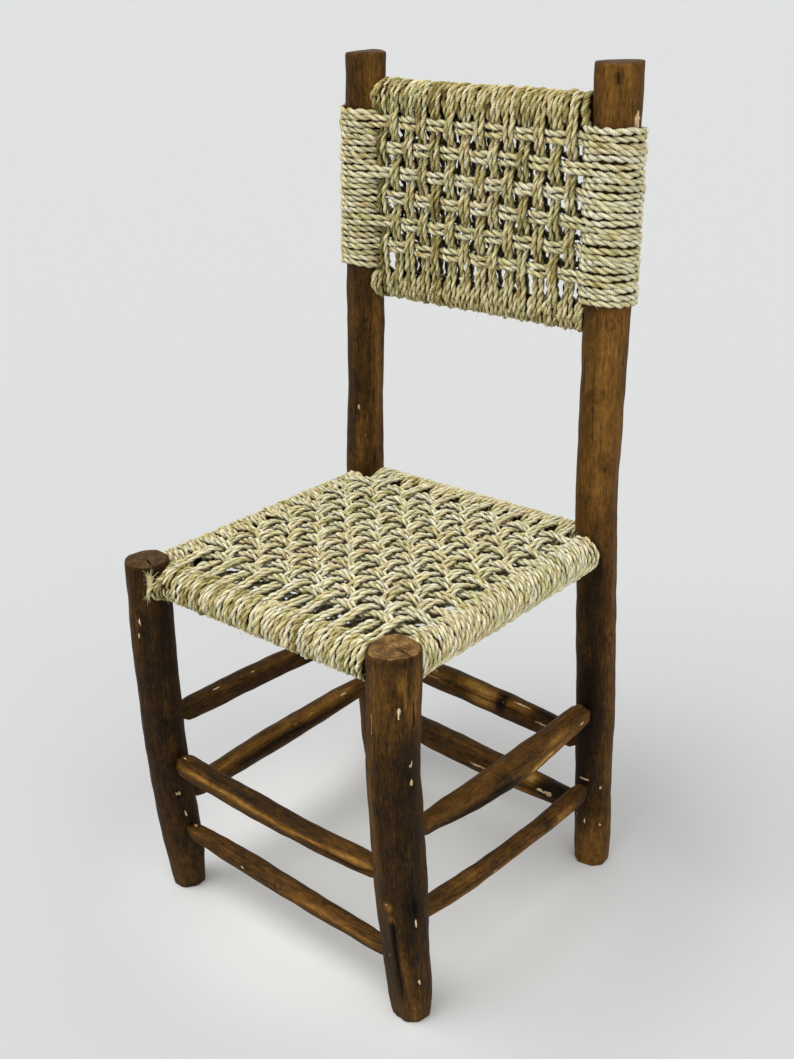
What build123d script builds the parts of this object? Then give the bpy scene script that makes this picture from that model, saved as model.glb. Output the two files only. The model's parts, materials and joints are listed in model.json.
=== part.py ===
from build123d import *
import os

# A stick chair: four branch posts, eight rungs, four seat rails and two back bars, all joined
# by round tenons in blind mortises, with a seat and a back panel woven in pairs of twisted
# rope. Millimetres. The origin is on the floor under the middle of the chair, +X is to the
# right and +Y to the back of somebody looking at its front, and +Z is up.

# ---------------------------------------------------------------- driving dimensions
chair_height = 1000.0
front_leg_height = 471.0
half_width = 188.0  # from the middle to the centre line of a post
half_depth = 192.0
middle_x = 2.0  # puts the middle of the whole chair's outer box over the origin
middle_y = -1.4

front_left_girth = 52.0  # nominal thickness of each branch
front_right_girth = 58.0
back_left_girth = 49.0
back_right_girth = 53.0

fit_gap = 0.15  # round each tenon
mortise_end_gap = 1.0  # left at the bottom of each blind mortise
shoulder_gap = 0.8  # between a rail's shoulder and the post
tenon_depth = 17.0
rung_tenon = 19.0
rail_tenon = 18.0
bar_tenon = 18.0

rope = 6.2  # thickness of the twisted rope
weave_gap = 0.4  # between ropes that cross
wrap_gap = 0.25  # between a branch and the rope round it
end_gap = 0.4  # between the end of a woven pair and the turn that it runs on from
side_gap = 0.5  # between a woven pair and the turns beside it
rib_depth = 2.2  # of the grooves between two turns
rib_slope = 1.9  # each side of a turn's crest

rail_height = 443.0  # centre line of the seat rails
rail_girth = 33.0
warp_pairs = 13  # seat rope pairs from front to back
weft_pairs = 12  # seat rope pairs from side to side
first_warp = -149.5
warp_pitch = 24.7
first_weft = -142.0
weft_pitch = 25.8
seat_turns = 4  # rope turns along a rail for each pair: two of the pair, two between

bar_low = 723.5  # centre line of the lower back bar
bar_high_left = 952.0
bar_high_right = 943.0
bar_low_girth = 25.4
bar_high_girth = 29.4
back_warp_pairs = 14
first_back_warp = -134.0
back_warp_pitch = 21.0
back_turns = 3  # turns along a back bar for each pair
back_weft_pairs = 6
first_back_weft = 771.4
back_weft_pitch = 29.6
post_turns = 4  # turns up a post for each pair

# ---------------------------------------------------------------- values worked out
rope_radius = rope / 2
strand_radius = rope_radius - 0.05  # a woven rope clears the turns that lie beside it
over_under = strand_radius + weave_gap / 2  # how far a rope swings off the weave's plane
flat_half = strand_radius * 2 + 0.5  # half of the level stretch over a crossing
clear_run = 2 * rope  # a rope leaves a rail or a post this far before it bends
lead_in = 7.0  # a rung is whittled down to its tenon over this length

# Each branch is a list of stations: share of its height, drift of its centre to the right and
# to the back of its nominal place, and thickness as a share of its nominal girth.
front_left_bends = [
    (0.0, -2, 7, 0.78),
    (0.04, -2, 6, 0.87),
    (0.13, -2, 3, 0.97),
    (0.28, -3, -3, 0.99),
    (0.47, -3, -9, 0.98),
    (0.7, 0, -12, 1.0),
    (1.0, 7, -14.5, 1.0),
]
front_right_bends = [
    (0.0, 2.5, 4.5, 0.76),
    (0.05, 2.5, 4.5, 0.86),
    (0.17, 0, 2, 0.9),
    (0.32, -2, 0.5, 1.0),
    (0.51, -4.5, -1.5, 1.02),
    (0.7, -6, -3, 0.99),
    (1.0, -2.5, 0.5, 1.0),
]
back_right_bends = [
    (0.0, 4.5, -11.5, 0.85),
    (0.03, 4, -11, 0.89),
    (0.11, 2, -9.5, 0.88),
    (0.24, -0.5, -7, 0.93),
    (0.37, -5, -5.5, 0.92),
    (0.5, -10.5, -4.5, 0.94),
    (0.6, -10.5, -1, 0.96),
    (0.7, -9.6, 3, 1.0),
    (1.0, -10, 12.8, 1.0),
]
back_left_bends = [
    (0.0, -6.5, 3, 0.9),
    (0.03, -6.5, 2, 1.02),
    (0.12, -6, 0, 1.05),
    (0.3, -4.5, -4.5, 1.06),
    (0.45, -3.5, -8, 1.05),
    (0.57, 2.5, -7, 0.95),
    (0.7, 8, -5.8, 1.0),
    (1.0, 20.5, -4.2, 1.0),
]


def stations(side, end, height, girth, bends):
    """Centre and radius of a branch at each of its stations, from the floor up."""
    return [
        (Vector(middle_x + side * half_width + dx, middle_y + end * half_depth + dy, share * height),
         girth * part / 2)
        for share, dx, dy, part in bends
    ]


front_left = stations(-1, -1, front_leg_height, front_left_girth, front_left_bends)
front_right = stations(1, -1, front_leg_height, front_right_girth, front_right_bends)
back_left = stations(-1, 1, chair_height, back_left_girth, back_left_bends)
back_right = stations(1, 1, chair_height, back_right_girth, back_right_bends)


def at_height(branch, height):
    """Centre and radius of a branch at a height, between its two nearest stations."""
    for (low, low_radius), (high, high_radius) in zip(branch, branch[1:]):
        if height <= high.Z:
            break
    share = (height - low.Z) / (high.Z - low.Z)
    return low + (high - low) * share, low_radius + (high_radius - low_radius) * share


def cross_piece(start_post, start_height, end_post, end_height, tenon, start_off=0, end_off=0):
    """Where a piece between two posts lies. The offsets move its ends off the posts' centres,
    to the back on a piece that runs from side to side, and to the right on one that runs from
    front to back."""
    start, start_radius = at_height(start_post, start_height)
    end, end_radius = at_height(end_post, end_height)
    sideways = abs(end.X - start.X) > abs(end.Y - start.Y)
    off = Vector(0, 1, 0) if sideways else Vector(1, 0, 0)
    start = start + off * start_off
    end = end + off * end_off
    along = (end - start).normalized()
    return {
        "start": start,
        "end": end,
        "along": along,
        "first": start + along * (start_radius + shoulder_gap),
        "last": end - along * (end_radius + shoulder_gap),
        "tenon": tenon,
        "posts": (start_post, end_post),
    }


front_rail = cross_piece(front_left, rail_height, front_right, rail_height, rail_tenon, 8, 8)
back_rail = cross_piece(back_left, rail_height, back_right, rail_height, rail_tenon, 3, 1.5)
left_rail = cross_piece(front_left, rail_height, back_left, rail_height, rail_tenon, -2, 7)
right_rail = cross_piece(front_right, rail_height, back_right, rail_height, rail_tenon, -2, -2.5)
top_bar = cross_piece(back_left, bar_high_left, back_right, bar_high_right, bar_tenon)
bottom_bar = cross_piece(back_left, bar_low, back_right, bar_low, bar_tenon)

front_upper = cross_piece(front_left, 196, front_right, 181, rung_tenon)
front_lower = cross_piece(front_left, 93, front_right, 73, rung_tenon)
back_upper = cross_piece(back_left, 178, back_right, 168, rung_tenon)
back_lower = cross_piece(back_left, 79, back_right, 71, rung_tenon)
left_upper = cross_piece(front_left, 247, back_left, 221, rung_tenon)
left_lower = cross_piece(front_left, 128, back_left, 131, rung_tenon)
right_upper = cross_piece(front_right, 233, back_right, 229, rung_tenon)
right_lower = cross_piece(front_right, 124, back_right, 113, rung_tenon)

cross_pieces = [
    front_rail, back_rail, left_rail, right_rail, top_bar, bottom_bar,
    front_upper, front_lower, back_upper, back_lower,
    left_upper, left_lower, right_upper, right_lower,
]

os.makedirs("parts", exist_ok=True)


def save(piece, name):
    """Labels a finished piece and writes it to its own file."""
    piece.part.label = name
    export_step(piece.part, f"parts/{name}.step")


# ---------------------------------------------------------------- posts
def make_post(name, branch):
    """A branch lofted through its stations, its top cut square and its mortises bored."""
    with BuildPart() as post:
        for centre, radius in branch:
            with BuildSketch(Plane(origin=centre)):
                Circle(radius)
        loft(ruled=True)
        top_rim = post.edges().group_by(Axis.Z)[-1]
        fillet(top_rim, radius=1.5)
        for piece in cross_pieces:
            if branch is piece["posts"][0]:
                shoulder, out = piece["first"], piece["along"]
            elif branch is piece["posts"][1]:
                shoulder, out = piece["last"], -piece["along"]
            else:
                continue
            bottom = shoulder - out * (tenon_depth + mortise_end_gap)
            with BuildSketch(Plane(origin=bottom, z_dir=out)):
                Circle(piece["tenon"] / 2 + fit_gap)
            extrude(amount=2 * tenon_depth, mode=Mode.SUBTRACT)
    save(post, name)


make_post("front_left_leg", front_left)
make_post("front_right_leg", front_right)
make_post("back_left_post", back_left)
make_post("back_right_post", back_right)


# ---------------------------------------------------------------- rungs
def make_rung(name, piece, girths, bow):
    """A bent branch, whittled down to a round tenon at each end. The girths are its thickness
    at even steps between its shoulders, and bow is how far its middle bends out and up."""
    along = piece["along"]
    level = Vector(along.Y, -along.X, 0).normalized()
    bent = level * bow[0] + Vector(0, 0, bow[1])
    first = piece["first"] + along * lead_in
    last = piece["last"] - along * lead_in
    with BuildPart() as rung:
        for step, girth in enumerate(girths):
            share = step / (len(girths) - 1)
            swing = 4 * share * (1 - share)
            centre = first + (last - first) * share + bent * swing
            with BuildSketch(Plane(origin=centre, z_dir=along)):
                Circle(girth / 2)
        loft()
        for shoulder, out, girth in ((first, -along, girths[0]), (last, along, girths[-1])):
            with BuildSketch(Plane(origin=shoulder, z_dir=out)):
                Circle(girth / 2)
            with BuildSketch(Plane(origin=shoulder + out * lead_in, z_dir=out)):
                Circle(piece["tenon"] / 2)
            loft(ruled=True)
            with BuildSketch(Plane(origin=shoulder + out * lead_in, z_dir=out)):
                Circle(piece["tenon"] / 2)
            extrude(amount=tenon_depth)
    save(rung, name)


make_rung("front_upper_rung", front_upper, [28, 30, 30, 30, 29, 28, 27.5, 26], (2, -3))
make_rung("front_lower_rung", front_lower, [23, 25, 26, 26, 25.5, 24, 23, 21.5], (2, 2))
make_rung("back_upper_rung", back_upper, [29, 32, 35, 35.5, 35, 34, 32, 29], (0, 3))
make_rung("back_lower_rung", back_lower, [33, 36.5, 38, 38, 37, 35, 32, 29], (0, -2))
make_rung("left_upper_rung", left_upper, [27, 30, 31, 31, 30, 30, 29, 26], (-2, 2))
make_rung("left_lower_rung", left_lower, [26, 30, 32, 33, 33, 32, 30, 27], (-2, 0))
make_rung("right_upper_rung", right_upper, [24, 28, 33, 36, 37, 35, 32, 28], (2, -8))
make_rung("right_lower_rung", right_lower, [23, 24, 24, 22.5, 22, 23, 24, 24], (0, -8))


# ---------------------------------------------------------------- rails and bars
def make_rail(name, piece, girth):
    """A straight round rail with a shoulder and a tenon at each end."""
    along = piece["along"]
    first, last = piece["first"], piece["last"]
    with BuildPart() as rail:
        with BuildSketch(Plane(origin=first, z_dir=along)):
            Circle(girth / 2)
        extrude(amount=(last - first).length)
        with BuildSketch(Plane(origin=first, z_dir=-along), Plane(origin=last, z_dir=along)):
            Circle(piece["tenon"] / 2)
        extrude(amount=tenon_depth)
    save(rail, name)


make_rail("front_seat_rail", front_rail, rail_girth)
make_rail("back_seat_rail", back_rail, rail_girth)
make_rail("left_seat_rail", left_rail, rail_girth)
make_rail("right_seat_rail", right_rail, rail_girth)
make_rail("top_back_bar", top_bar, bar_high_girth)
make_rail("bottom_back_bar", bottom_bar, bar_low_girth)


# ---------------------------------------------------------------- rope round the branches
def turned_rope(name, start, along, girth, inward, places, turns, before=0, after=0):
    """Rope wound round a branch, one rib for each turn. Places are the distances from the start
    of the woven pairs, and on the inward side a pair has no turn, because it runs straight on
    to the weave. Turns is how many there are from one pair to the next, and before and after
    are spare turns past the first and the last pair."""
    pitch = (places[1] - places[0]) / turns
    bore = girth / 2 + wrap_gap
    crest = bore + rope
    groove = crest - rib_depth
    count = round((places[-1] - places[0]) / pitch) + 2 + before + after
    first_edge = places[0] - (before + 1) * pitch
    last_edge = first_edge + count * pitch
    ribs = [(first_edge, bore)]
    for turn in range(count):
        edge = first_edge + turn * pitch
        ribs += [(edge, groove), (edge + rib_slope, crest), (edge + pitch - rib_slope, crest)]
    ribs += [(last_edge, groove), (last_edge, bore)]
    lengthwise = along.cross(along.cross(inward).normalized())
    frame = Plane(origin=start, x_dir=along, z_dir=lengthwise)
    with BuildPart() as wound:
        with BuildSketch(frame) as every_turn:
            with BuildLine():
                Polyline(*ribs, close=True)
            make_face()
        revolve(axis=Axis(start, along), revolution_arc=180)
        with BuildSketch(frame):
            add(every_turn.sketch_local)
            with Locations(*[(place, bore) for place in places]):
                Rectangle(2 * (pitch + side_gap), 4 * rope, mode=Mode.SUBTRACT)
        revolve(axis=Axis(start, -along), revolution_arc=180)
    save(wound, name)


def along_x(piece, places):
    """Distances along a piece from its start to where it passes these places in X."""
    return [(place - piece["start"].X) / piece["along"].X for place in places]


def along_y(piece, places):
    return [(place - piece["start"].Y) / piece["along"].Y for place in places]


warp_places = [middle_x + first_warp + pair * warp_pitch for pair in range(warp_pairs)]
weft_places = [middle_y + first_weft + pair * weft_pitch for pair in range(weft_pairs)]
back_warp_places = [
    middle_x + first_back_warp + pair * back_warp_pitch for pair in range(back_warp_pairs)
]
back_weft_places = [first_back_weft + pair * back_weft_pitch for pair in range(back_weft_pairs)]

to_back = Vector(0, 1, 0)
to_right = Vector(1, 0, 0)
up = Vector(0, 0, 1)

turned_rope(
    "front_rail_rope", front_rail["start"], front_rail["along"], rail_girth, to_back,
    along_x(front_rail, warp_places), seat_turns,
)
turned_rope(
    "back_rail_rope", back_rail["start"], back_rail["along"], rail_girth, -to_back,
    along_x(back_rail, warp_places), seat_turns, before=1,
)
turned_rope(
    "left_rail_rope", left_rail["start"], left_rail["along"], rail_girth, to_right,
    along_y(left_rail, weft_places), seat_turns, before=4, after=1,
)
turned_rope(
    "right_rail_rope", right_rail["start"], right_rail["along"], rail_girth, -to_right,
    along_y(right_rail, weft_places), seat_turns, before=2, after=2,
)
turned_rope(
    "top_bar_rope", top_bar["start"], top_bar["along"], bar_high_girth, -up,
    along_x(top_bar, back_warp_places), back_turns,
)
turned_rope(
    "bottom_bar_rope", bottom_bar["start"], bottom_bar["along"], bar_low_girth, up,
    along_x(bottom_bar, back_warp_places), back_turns, before=1,
)


def turned_post(name, post, inward, after):
    """Rope wound round the straight top of a back post, where the back's weft pairs go."""
    low, low_radius = at_height(post, back_weft_places[0])
    high, high_radius = at_height(post, back_weft_places[-1])
    along = (high - low).normalized()
    places = [(place - low.Z) / along.Z for place in back_weft_places]
    girth = 2 * max(low_radius, high_radius)
    turned_rope(name, low, along, girth, inward, places, post_turns, 3, after)


turned_post("left_post_rope", back_left, to_right, after=1)
turned_post("right_post_rope", back_right, -to_right, after=0)  # the bar is lower at this end


# ---------------------------------------------------------------- woven pairs
def weave_line(crossings, length, first_over):
    """Route of a pair over and under the pairs it crosses, as distance along and height."""
    points = [(0, 0), (clear_run, 0)]
    for number, crossing in enumerate(crossings):
        level = over_under if (number % 2 == 0) == first_over else -over_under
        points += [(crossing - flat_half, level), (crossing + flat_half, level)]
    return points + [(length - clear_run, 0), (length, 0)]


def woven_pair(frame, points):
    """Two ropes side by side as one waving band, along points in the frame's XY plane."""
    above = [(along, level + strand_radius) for along, level in points]
    below = [(along, level - strand_radius) for along, level in reversed(points)]
    with BuildPart(mode=Mode.PRIVATE) as band:
        with BuildSketch(frame):
            with BuildLine():
                Polyline(*above, *below, close=True)
            make_face()
        extrude(amount=2 * strand_radius, both=True)
    return band.part


def seat_runs(name, start_rail, end_rail, places, crossings, by_x, face):
    """The seat's pairs of one direction, on its top (face 1) or underneath (face -1)."""
    level = face * (rail_girth / 2 + wrap_gap + rope_radius)
    with BuildPart() as woven:
        for number, place in enumerate(places):
            ends = []
            for rail in (start_rail, end_rail):
                distance = (along_x if by_x else along_y)(rail, [place])[0]
                ends.append(rail["start"] + rail["along"] * distance + up * level)
            run = (ends[1] - ends[0]).normalized()
            start = ends[0] + run * end_gap
            length = (ends[1] - ends[0]).length - 2 * end_gap
            frame = Plane(origin=start, x_dir=run, z_dir=run.cross(up * face))
            at = [crossing - (start.Y if by_x else start.X) for crossing in crossings]
            first_over = (number % 2 == 0) == by_x
            add(woven_pair(frame, weave_line(at, length, first_over)))
    save(woven, name)


for face, side in ((1, "top"), (-1, "under")):
    seat_runs(f"seat_warp_{side}", front_rail, back_rail, warp_places, weft_places, True, face)
    seat_runs(f"seat_weft_{side}", left_rail, right_rail, weft_places, warp_places, False, face)


def bar_point(bar, place, girth, face):
    """Where a rope over a back bar leaves it, on the front (face -1) or the rear (face 1)."""
    centre = bar["start"] + bar["along"] * along_x(bar, [place])[0]
    return centre + to_back * face * (girth / 2 + wrap_gap + rope_radius)


def panel_point(place, height, face):
    """Middle of the back's weave on one face, at a place in X and a height."""
    high = bar_point(top_bar, place, bar_high_girth, face)
    low = bar_point(bottom_bar, place, bar_low_girth, face)
    return low + (high - low) * ((height - low.Z) / (high.Z - low.Z))


def back_warps(name, face):
    with BuildPart() as woven:
        for number, place in enumerate(back_warp_places):
            low = bar_point(bottom_bar, place, bar_low_girth, face)
            high = bar_point(top_bar, place, bar_high_girth, face)
            run = (high - low).normalized()
            start = low + run * end_gap
            length = (high - low).length - 2 * end_gap
            frame = Plane(origin=start, x_dir=run, z_dir=run.cross(to_back * face))
            at = [(height - start.Z) / run.Z for height in back_weft_places]
            add(woven_pair(frame, weave_line(at, length, number % 2 == 0)))
    save(woven, name)


def back_wefts(name, face):
    with BuildPart() as woven:
        for number, height in enumerate(back_weft_places):
            left, left_radius = at_height(back_left, height)
            right, right_radius = at_height(back_right, height)
            reach = wrap_gap + rope_radius
            start = (left.X + end_gap, left.Y + face * (left_radius + reach))
            end = (right.X - end_gap, right.Y + face * (right_radius + reach))
            points = [start, (start[0] + clear_run, start[1])]
            for crossed, place in enumerate(back_warp_places):
                over = (number + crossed) % 2 == 1
                middle = panel_point(place, height, face).Y
                level = middle + face * (over_under if over else -over_under)
                points += [(place - flat_half, level), (place + flat_half, level)]
            points += [(end[0] - clear_run, end[1]), end]
            add(woven_pair(Plane.XY.offset(height), points))
    save(woven, name)


for face, side in ((-1, "front"), (1, "rear")):
    back_warps(f"back_warp_{side}", face)
    back_wefts(f"back_weft_{side}", face)
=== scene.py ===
import json
import math

import bmesh
import bpy
import numpy as np
from mathutils import Matrix, Vector

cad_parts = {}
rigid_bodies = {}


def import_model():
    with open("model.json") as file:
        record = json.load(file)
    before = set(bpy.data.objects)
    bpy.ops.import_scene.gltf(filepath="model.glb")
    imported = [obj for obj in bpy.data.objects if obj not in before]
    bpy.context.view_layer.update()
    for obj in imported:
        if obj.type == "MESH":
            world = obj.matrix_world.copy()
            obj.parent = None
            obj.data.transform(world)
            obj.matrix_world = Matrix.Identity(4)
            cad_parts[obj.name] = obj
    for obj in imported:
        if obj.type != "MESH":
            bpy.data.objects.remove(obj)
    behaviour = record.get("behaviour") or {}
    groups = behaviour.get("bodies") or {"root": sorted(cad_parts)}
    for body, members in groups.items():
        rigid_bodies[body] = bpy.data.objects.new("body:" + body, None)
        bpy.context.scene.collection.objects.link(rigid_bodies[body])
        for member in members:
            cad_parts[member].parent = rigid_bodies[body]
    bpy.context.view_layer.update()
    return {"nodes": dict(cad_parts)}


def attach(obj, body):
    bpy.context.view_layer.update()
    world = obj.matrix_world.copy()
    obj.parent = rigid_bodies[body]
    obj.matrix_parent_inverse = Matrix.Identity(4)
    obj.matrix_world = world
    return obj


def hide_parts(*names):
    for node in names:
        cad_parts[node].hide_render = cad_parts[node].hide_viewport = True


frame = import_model()
mm = 0.001  # sizes in the dictionaries are millimetres, angles are degrees
fullTurn = 2 * math.pi
toRight, toBack, upwards = np.eye(3)

print("camera and studio")

view = {
    "place": (1011.3, -1119.6, 1138.7),
    "turned": 41.344,  # to the left of straight ahead
    "tilted": 23.525,  # down
    "rolled": -1.683,
    "lens": 47.33,
    "filmWidth": 36.0,
    "clipEnd": 200,  # metres
}
bpy.ops.object.camera_add()
camera = bpy.context.object
camera.data.lens = view["lens"]
camera.data.sensor_width = view["filmWidth"]
camera.data.clip_end = view["clipEnd"]
camera.matrix_world = (
    Matrix.Translation(Vector(view["place"]) * mm)
    @ Matrix.Rotation(math.radians(view["turned"]), 4, "Z")
    @ Matrix.Rotation(math.radians(90 - view["tilted"]), 4, "X")
    @ Matrix.Rotation(math.radians(view["rolled"]), 4, "Z")
)
bpy.context.scene.camera = camera
bpy.context.scene.view_settings.view_transform = "Standard"


def linear(code):  # "#rrggbb" as a linear colour
    shares = [int(code[i : i + 2], 16) / 255 for i in (1, 3, 5)]
    return [s / 12.92 if s <= 0.04045 else ((s + 0.055) / 1.055) ** 2.4 for s in shares] + [1.0]


def plugIn(tree, node, inputs):
    # a value goes onto the node's own socket, and another node's socket is linked to it
    for name, value in inputs.items():
        if isinstance(value, bpy.types.NodeSocket):
            tree.links.new(value, node.inputs[name])
        else:
            node.inputs[name].default_value = value


def addNode(tree, kind, inputs=None, stops=(), **settings):
    node = tree.nodes.new(kind)
    for name, value in settings.items():
        setattr(node, name, value)
    plugIn(tree, node, inputs or {})
    ends = {0: 0, len(stops) - 1: -1}  # a new ramp has its first and last stop
    for number, (place, code) in enumerate(stops):
        ramp = node.color_ramp.elements
        stop = ramp[ends[number]] if number in ends else ramp.new(place)
        stop.position = place
        stop.color = linear(code)
    return node


def newMaterial(name):
    material = bpy.data.materials.new(name)
    material.use_nodes = True
    return material, material.node_tree, material.node_tree.nodes["Principled BSDF"]


studio = {
    "floorColour": "#cacbcb",
    "floorPaintedLight": "#eaeae8",  # painted light: lighter round the feet, against the shadow that the chair casts there
    "floorFade": (0.15, 0.42),  # metres from the chair's middle, from the near colour to the far
    "floorSize": 60.0,  # metres
    "skyColour": "#ffffff",
    "skyStrength": 0.66,
    "seenSky": "#ececec",
    "lamps": [  # where from, strength and how wide it shines from: lamps behind large diffusers
        ((-0.9, -1.6, 3.4), 1.6, 45),
        ((2.9, -1.2, 2.3), 0.8, 60),
    ],
}

bpy.ops.mesh.primitive_plane_add(size=studio["floorSize"])
floor = bpy.context.object
floor.name = "studioFloor"
paper, paperTree, paperShader = newMaterial("mattePaperSweep")  # without gloss; lighter round the chair as painted light
farOff = addNode(paperTree, "ShaderNodeVectorMath", {
    0: addNode(paperTree, "ShaderNodeTexCoord").outputs["Object"],
}, operation="LENGTH")
faded = addNode(paperTree, "ShaderNodeMapRange", {
    "Value": farOff.outputs["Value"], "To Min": 0.0, "To Max": 1.0,
    "From Min": studio["floorFade"][0], "From Max": studio["floorFade"][1],
}, interpolation_type="SMOOTHSTEP")
paperColour = addNode(paperTree, "ShaderNodeMix", {
    0: faded.outputs[0], 6: linear(studio["floorPaintedLight"]), 7: linear(studio["floorColour"]),
}, data_type="RGBA")
plugIn(paperTree, paperShader, {
    "Base Color": paperColour.outputs[2], "Roughness": 0.95, "Specular IOR Level": 0.1,
})
floor.data.materials.append(paper)

world = bpy.data.worlds.new("studioLight")
world.use_nodes = True
bpy.context.scene.world = world
sky = world.node_tree
rays = addNode(sky, "ShaderNodeLightPath")
seen = addNode(sky, "ShaderNodeMath", {
    0: rays.outputs["Is Camera Ray"], 1: rays.outputs["Is Glossy Ray"],
}, operation="MAXIMUM")
lit = addNode(sky, "ShaderNodeBackground", {
    "Color": linear(studio["skyColour"]), "Strength": studio["skyStrength"],
})
shown = addNode(sky, "ShaderNodeBackground", {"Color": linear(studio["seenSky"]), "Strength": 1.0})
both = addNode(sky, "ShaderNodeMixShader", {
    0: seen.outputs[0], 1: lit.outputs[0], 2: shown.outputs[0],
})
sky.links.new(both.outputs[0], sky.nodes["World Output"].inputs["Surface"])

for place, power, spread in studio["lamps"]:
    bpy.ops.object.light_add(type="SUN", location=place)
    lamp = bpy.context.object
    lamp.data.energy = power
    lamp.data.angle = math.radians(spread)
    lamp.rotation_euler = (-Vector(place)).to_track_quat("-Z", "Y").to_euler()

print("materials")


def noiseLayers(tree, vector, layers):
    # noises drawn out along the third axis: name, size across and along in mm, detail
    found = {}
    for layer, across, along, detail in layers:
        scale = (1000 / across, 1000 / across, 1000 / along)
        place = addNode(tree, "ShaderNodeMapping", {"Vector": vector, "Scale": scale})
        found[layer] = addNode(tree, "ShaderNodeTexNoise", {
            "Vector": place.outputs[0], "Scale": 1.0, "Detail": detail,
        }).outputs["Fac"]
    return found


def weighed(tree, total, layers, weights):
    # a value plus each layer's swing about its middle
    for layer, weight in weights:
        swing = addNode(tree, "ShaderNodeMath", {0: layers[layer], 1: weight, 2: -weight / 2},
                        operation="MULTIPLY_ADD")
        total = addNode(tree, "ShaderNodeMath", {0: total, 1: swing.outputs[0]}).outputs[0]
    return total


def coats(tree, ground, laid):
    # colours over a ground, each where its value runs from low to high, up to a share
    for value, low, high, most, colour in laid:
        share = addNode(tree, "ShaderNodeMapRange", {
            "Value": value, "From Min": low, "From Max": high, "To Min": 0.0, "To Max": most,
        })
        ground = addNode(tree, "ShaderNodeMix", {
            0: share.outputs[0], 6: ground, 7: colour,
        }, data_type="RGBA").outputs[2]
    return ground


def stainedBranch():
    # Young branches, peeled by hand and rubbed with a dark oil stain. The stain runs in streaks along
    # the grain and wears through to golden wood on the crests. Round the joints and in the cracks the
    # wood is darkened as painted shade.
    material, tree, shader = newMaterial("peeledBranchDarkOilStain")
    grain = addNode(tree, "ShaderNodeAttribute", attribute_name="grain").outputs["Vector"]
    marks = addNode(tree, "ShaderNodeAttribute", attribute_name="marks").outputs["Vector"]
    ends = addNode(tree, "ShaderNodeAttribute", attribute_name="sawnEnd").outputs["Fac"]
    mark = addNode(tree, "ShaderNodeSeparateXYZ", {0: marks})
    layers = noiseLayers(tree, grain, [
        ("patches", 38, 130, 3), ("blots", 11, 19, 5), ("streaks", 5, 70, 5),
        ("fibres", 1.4, 34, 3), ("flecks", 3.2, 6.5, 3), ("ragged", 2.4, 7, 4),
    ])
    total = addNode(tree, "ShaderNodeMath", {0: mark.outputs["X"], 1: 0.5}).outputs[0]
    total = weighed(tree, total, layers, [
        ("patches", 0.17), ("blots", 0.22), ("streaks", 0.11), ("fibres", 0.18), ("ragged", 0.24),
    ])
    colour = addNode(tree, "ShaderNodeValToRGB", {"Fac": total}, stops=[
        (0.3, "#120a04"), (0.41, "#241708"), (0.5, "#3c280e"), (0.6, "#5d3f17"),
        (0.7, "#7c5624"), (0.81, "#a07638"), (0.93, "#c9a35c"),
    ]).outputs[0]
    rings = addNode(tree, "ShaderNodeTexWave", {
        "Vector": grain, "Scale": 55.0, "Distortion": 3.5, "Detail": 3.0, "Detail Scale": 40.0,
    }, wave_type="RINGS", rings_direction="Z")
    sawn = addNode(tree, "ShaderNodeMath", {0: mark.outputs["X"], 1: 0.5}).outputs[0]
    sawn = weighed(tree, sawn, {"rings": rings.outputs["Fac"], **layers}, [
        ("rings", 0.05), ("blots", 0.7), ("flecks", 0.4),
    ])
    endColour = addNode(tree, "ShaderNodeValToRGB", {"Fac": sawn}, stops=[
        (0.25, "#2a1b0c"), (0.42, "#4c361b"), (0.56, "#6b4e2a"), (0.7, "#8f6e40"),
        (0.85, "#b3905c"),
    ]).outputs[0]
    bareWood = addNode(tree, "ShaderNodeValToRGB", {"Fac": layers["fibres"]}, stops=[
        (0.3, "#a07a4c"), (0.5, "#d6ba8c"), (0.7, "#ecdab6"),
    ]).outputs[0]
    torn = weighed(tree, mark.outputs["Y"], layers, [("ragged", 1.1)])
    surface = coats(tree, colour, [
        (ends, 0.0, 1.0, 1.0, endColour),
        (layers["fibres"], 0.4, 0.32, 0.5, linear("#120a05")),  # dark pores drawn out
        (torn, 0.47, 0.56, 1.0, bareWood),  # a chip has a crisp, ragged edge
        (layers["flecks"], 0.77, 0.79, 0.6, bareWood),
        # painted shade inside the cracks and the split end
        (mark.outputs["Z"], 0.0, 1.0, 1.0, linear("#0a0603")),
    ])
    relief = weighed(tree, 0.5, layers, [("fibres", 0.4), ("streaks", 0.8), ("ragged", 0.3)])
    bump = addNode(tree, "ShaderNodeBump", {
        "Strength": 0.7, "Distance": 1.0 * mm, "Height": relief,
    })
    gloss = addNode(tree, "ShaderNodeMapRange", {
        "Value": layers["blots"], "From Min": 0.3, "From Max": 0.7, "To Min": 0.5, "To Max": 0.72,
    })
    plugIn(tree, shader, {
        "Base Color": surface, "Roughness": gloss.outputs[0], "Normal": bump.outputs[0],
        "IOR": 1.5, "Specular IOR Level": 0.08,
    })
    return material


def bareBranch():
    # Straight rods, peeled and left without stain, which show orange-brown between the cords; their
    # colours are painted darker as painted shade, for the cords' shade on them.
    material, tree, shader = newMaterial("peeledRodBare")
    spot = addNode(tree, "ShaderNodeTexCoord").outputs["Object"]
    layers = noiseLayers(tree, spot, [("grain", 7, 4, 4), ("spots", 16, 16, 3)])
    total = weighed(tree, 0.5, layers, [("grain", 0.8), ("spots", 0.7)])
    # painted shade: the rods' colours are darker than bare wood, for the shade under the cords
    colour = addNode(tree, "ShaderNodeValToRGB", {"Fac": total}, stops=[
        (0.3, "#1a1008"), (0.56, "#3a2512"), (0.8, "#8a5a2b"),
    ]).outputs[0]
    bump = addNode(tree, "ShaderNodeBump", {
        "Strength": 0.3, "Distance": 0.4 * mm, "Height": layers["grain"],
    })
    plugIn(tree, shader, {
        "Base Color": colour, "Roughness": 0.75, "Normal": bump.outputs[0], "Specular IOR Level": 0.08,
    })
    return material


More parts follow.
